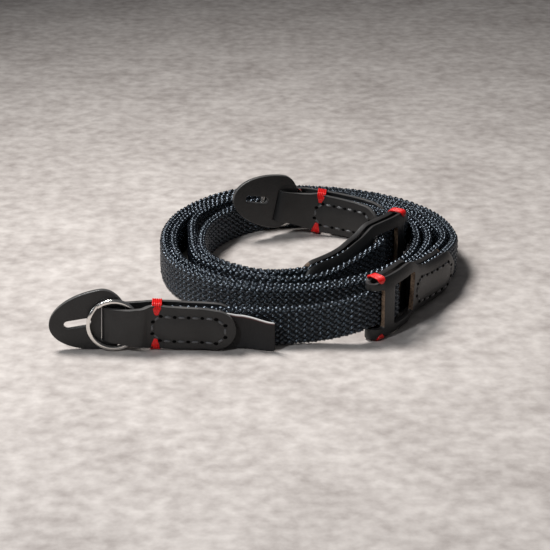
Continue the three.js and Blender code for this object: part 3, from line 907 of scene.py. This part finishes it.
def tab_loops(lean):
    outline = []
    for turn in np.linspace(0, 2 * math.pi, TAB_SIDES, endpoint=False):
        reach = TAB_SHORT_END if math.cos(turn) > 0 else TAB_LONG_END
        outline.append((reach * math.cos(turn), TAB_HALF_WIDTH * math.sin(turn)))
    low, high, height = TAB_SLIT
    radius = height / 2
    slit = []
    for middle, first in ((high - radius, -math.pi / 2), (low + radius, math.pi / 2)):
        for turn in np.linspace(first, first + math.pi, SLIT_END_SIDES):
            slit.append((middle + radius * math.cos(turn), radius * math.sin(turn)))
    width, tall = TAB_SLOT_HALF
    slot = []
    for x, y in ((-width, -tall), (width, -tall), (width, tall), (-width, tall)):
        y -= TAB_SLOT_DROP
        slot.append((x * math.cos(lean) + y * math.sin(lean), y * math.cos(lean) - x * math.sin(lean)))
    return outline, slit, slot


def make_tab(name, path, lean, node):
    curve = bpy.data.curves.new(name, "CURVE")
    curve.dimensions = "2D"
    curve.fill_mode = "BOTH"
    curve.extrude = TAB_THICKNESS / 2 - TAB_ROUND
    curve.bevel_depth = TAB_ROUND
    curve.bevel_resolution = 3
    curve.offset = -TAB_ROUND
    for loop in tab_loops(lean):
        line = curve.splines.new("POLY")
        line.points.add(len(loop) - 1)
        line.points.foreach_set("co", np.array([(x, y, 0, 1) for x, y in loop], np.float32).ravel())
        line.use_cyclic_u = True
    source = bpy.data.objects.new(name + "_outline", curve)
    flat = bpy.data.meshes.new_from_object(source)
    points = np.empty(len(flat.vertices) * 3)
    flat.vertices.foreach_get("co", points)
    points = points.reshape(-1, 3)
    faces = [tuple(p.vertices) for p in flat.polygons]
    on_rim = [abs(p.normal.z) < FLAT_NORMAL for p in flat.polygons]
    bpy.data.objects.remove(source)
    place, slope, left, up = (v[0] for v in path.frame(TAB_SLOT_AT))
    ahead = slope * math.cos(lean) + up * math.sin(lean)
    rise = up * math.cos(lean) - slope * math.sin(lean)
    middle = place + up * TAB_SLOT_DROP
    placed = middle + points[:, :1] * ahead + points[:, 1:2] * rise - points[:, 2:] * left
    piece = make_piece(name, placed, faces, (LEATHER_FACE, LEATHER_EDGE_HIGHLIGHT), node,
                       face_material=np.array(on_rim, int))
    weld(piece)
    smooth = np.array([p.material_index == 1 for p in piece.data.polygons])
    piece.data.polygons.foreach_set("use_smooth", smooth)
    print(name, "faces", len(piece.data.polygons))


def weld(piece):
    work = bmesh.new()
    work.from_mesh(piece.data)
    bmesh.ops.remove_doubles(work, verts=work.verts, dist=WELD_DISTANCE)
    bmesh.ops.recalc_face_normals(work, faces=work.faces)
    work.to_mesh(piece.data)
    work.free()


make_tab("lug_tab_a_leather", camera_a, LEAN_A, "lug_tab_a")
make_tab("lug_tab_b_leather", camera_b, 0.0, "lug_tab_b")

# %% [markdown]
# ## Split rings
# A split ring is two turns of flat wire side by side. The wire steps from one turn to the
# next over a short stretch, and its two ends meet that step.

# %% Rings
RING_RADIUS = 7.55
RING_BAND = 1.1
RING_DEPTH = 1.5
RING_AHEAD = 2.6
RING_OFFSET = TAB_THICKNESS / 2 + 0.3 + RING_DEPTH / 2
RING_SPLIT = math.radians(145)
RING_STEP = 0.22
RING_HALF_GAP = 0.07
RING_STATIONS = 240
RING_ENDS = (0.02, 0.98)


def make_ring(name, path, ring_side, node):
    place, slope, left, up = (v[0] for v in path.frame(TAB_SLOT_AT))
    middle = place + slope * RING_AHEAD + left * ring_side * RING_OFFSET
    turns = np.linspace(*RING_ENDS, RING_STATIONS) * 4 * math.pi
    layer = np.clip((turns - (2 * math.pi - RING_STEP)) / (2 * RING_STEP), 0, 1)
    layer = layer * layer * (3 - 2 * layer) - 0.5
    radial = np.cos(turns + RING_SPLIT)[:, None] * slope + np.sin(turns + RING_SPLIT)[:, None] * up
    line = middle + radial * RING_RADIUS + left * ring_side * (layer * RING_DEPTH / 2)[:, None]
    corners = ((-0.9, -1), (0.9, -1), (1, -0.7), (1, 0.7), (0.9, 1), (-0.9, 1), (-1, 0.7), (-1, -0.7))
    points = []
    for centre, out in zip(line, radial):
        for across, deep in corners:
            side = left * deep * (RING_DEPTH / 4 - RING_HALF_GAP)
            points.append(centre + out * across * RING_BAND / 2 + side)
    count = len(corners)
    faces = grid_faces(len(line), count, wrap=True)
    faces.append(tuple(range(count))[::-1])
    faces.append(tuple((len(line) - 1) * count + j for j in range(count)))
    piece = make_piece(name, np.array(points), faces, (STEEL,), node)
    face_outward(piece)
    print(name, "faces", len(faces))


make_ring("split_ring_a_wire", camera_a, -1, "split_ring_a")
make_ring("split_ring_b_wire", camera_b, 1, "split_ring_b")

# %% [markdown]
# ## Label
# A folded woven label leaves the leather in front of the braid. Its place for a mark is bare.

# %% Label
LABEL_ROWS = (
    # length from the fold, side step, middle height, half height
    (35.8, -1.9, 6.4, 5.6), (40.5, -1.95, 6.0, 5.35), (51.2, -4.2, 5.0, 4.7),
)
LABEL_THICKNESS = 0.5
LABEL_SOFTNESS = 0.2
LABEL_STATIONS = 22
LABEL_LINES = 13
LABEL_MAP_LENGTH = 11
RIPPLE = 0.12
RIPPLE_PER_MM = 0.7

label_points, label_uvs = [], []
for at in np.linspace(LABEL_ROWS[0][0], LABEL_ROWS[-1][0], LABEL_STATIONS):
    place, _, left, up = (v[0] for v in camera_a.frame(at))
    step, middle, half = (float(smooth_between(LABEL_ROWS, column, at)[0]) for column in (1, 2, 3))
    for share in np.linspace(-1, 1, LABEL_LINES):
        ripple = RIPPLE * math.sin(at * RIPPLE_PER_MM) * share
        point = place + left * (step + ripple)
        point[2] = middle + half * share
        label_points.append(point)
        label_uvs.append((at / LABEL_MAP_LENGTH, (share + 1) / 2))
label = make_piece("label_tag_cloth", np.array(label_points), grid_faces(LABEL_STATIONS, LABEL_LINES),
                   (LABEL_CLOTH,), "label_tag", np.array(label_uvs))
face_outward(label)
round_edges(label, LABEL_THICKNESS, 0, LABEL_SOFTNESS)
print("label made")

# %% [markdown]
# ## Floor and light
# A plain pale floor with faint specks and clouds, a soft light from the back left, a small
# cool one from the front left that glints on the braid, and an even grey sky.

# %% Floor and light
FLOOR_HALF = 2.5
FLOOR_DARK = (0.40, 0.355, 0.33)
FLOOR_LIGHT = (0.70, 0.645, 0.605)
FLOOR_CLOUDS = 34
FLOOR_SPECKS = 210
SPECK_SHARE = 0.6
FLOOR_GRAIN = 700
FLOOR_BUMP = (0.12, 0.0002)

FLOOR_STONE, floor_shader = new_material("floor_stone", FLOOR_LIGHT, 0.75, specular=0.25)
clouds = noise(FLOOR_STONE, FLOOR_CLOUDS, 4)
specks = noise(FLOOR_STONE, FLOOR_SPECKS, 8)
faint = add_node(FLOOR_STONE, "ShaderNodeMath", operation="MULTIPLY")
link(FLOOR_STONE, clouds, faint.inputs[0])
faint.inputs[1].default_value = 1 - SPECK_SHARE
mottle = add_node(FLOOR_STONE, "ShaderNodeMath", operation="MULTIPLY_ADD")
link(FLOOR_STONE, specks, mottle.inputs[0])
mottle.inputs[1].default_value = SPECK_SHARE
link(FLOOR_STONE, faint.outputs[0], mottle.inputs[2])
tones = ramp(FLOOR_STONE, mottle.outputs[0], ((0.32, FLOOR_DARK), (0.66, FLOOR_LIGHT)))
link(FLOOR_STONE, tones, floor_shader.inputs["Base Color"])
bump(FLOOR_STONE, floor_shader, noise(FLOOR_STONE, FLOOR_GRAIN, 4), *FLOOR_BUMP)
floor_mesh = bpy.data.meshes.new("floor")
corners = [(x * FLOOR_HALF, y * FLOOR_HALF, 0) for x, y in ((-1, -1), (1, -1), (1, 1), (-1, 1))]
floor_mesh.from_pydata(corners, [], [(0, 1, 2, 3)])
floor_mesh.materials.append(FLOOR_STONE)
floor = bpy.data.objects.new("floor", floor_mesh)
bpy.context.scene.collection.objects.link(floor)

LIGHTS = (
    # name, place in metres, aim in metres, size, spread in degrees, power, colour
    ("key", (-0.20, 0.08, 0.50), (0.05, -0.07, 0.0), 0.18, 104, 1.18, (1.0, 0.99, 0.98)),
    ("front", (-0.34, -0.46, 0.44), (0.0, -0.02, 0.0), 0.07, 120, 0.62, (0.90, 0.95, 1.0)),
)
for name, place, aim, size, spread_angle, power, color in LIGHTS:
    data = bpy.data.lights.new(name, "AREA")
    data.size = size
    data.spread = math.radians(spread_angle)
    data.energy = power
    data.color = color
    lamp = bpy.data.objects.new(name, data)
    lamp.location = place
    lamp.rotation_euler = (Vector(aim) - Vector(place)).to_track_quat("-Z", "Y").to_euler()
    bpy.context.scene.collection.objects.link(lamp)

SKY_COLOR = (0.86, 0.88, 0.92, 1)
SKY_STRENGTH = 0.10
world = bpy.data.worlds.new("sky")
world.use_nodes = True
background = world.node_tree.nodes["Background"]
background.inputs["Color"].default_value = SKY_COLOR
background.inputs["Strength"].default_value = SKY_STRENGTH
bpy.context.scene.world = world
bpy.context.scene.view_settings.view_transform = "Standard"
print("lights", len(LIGHTS))
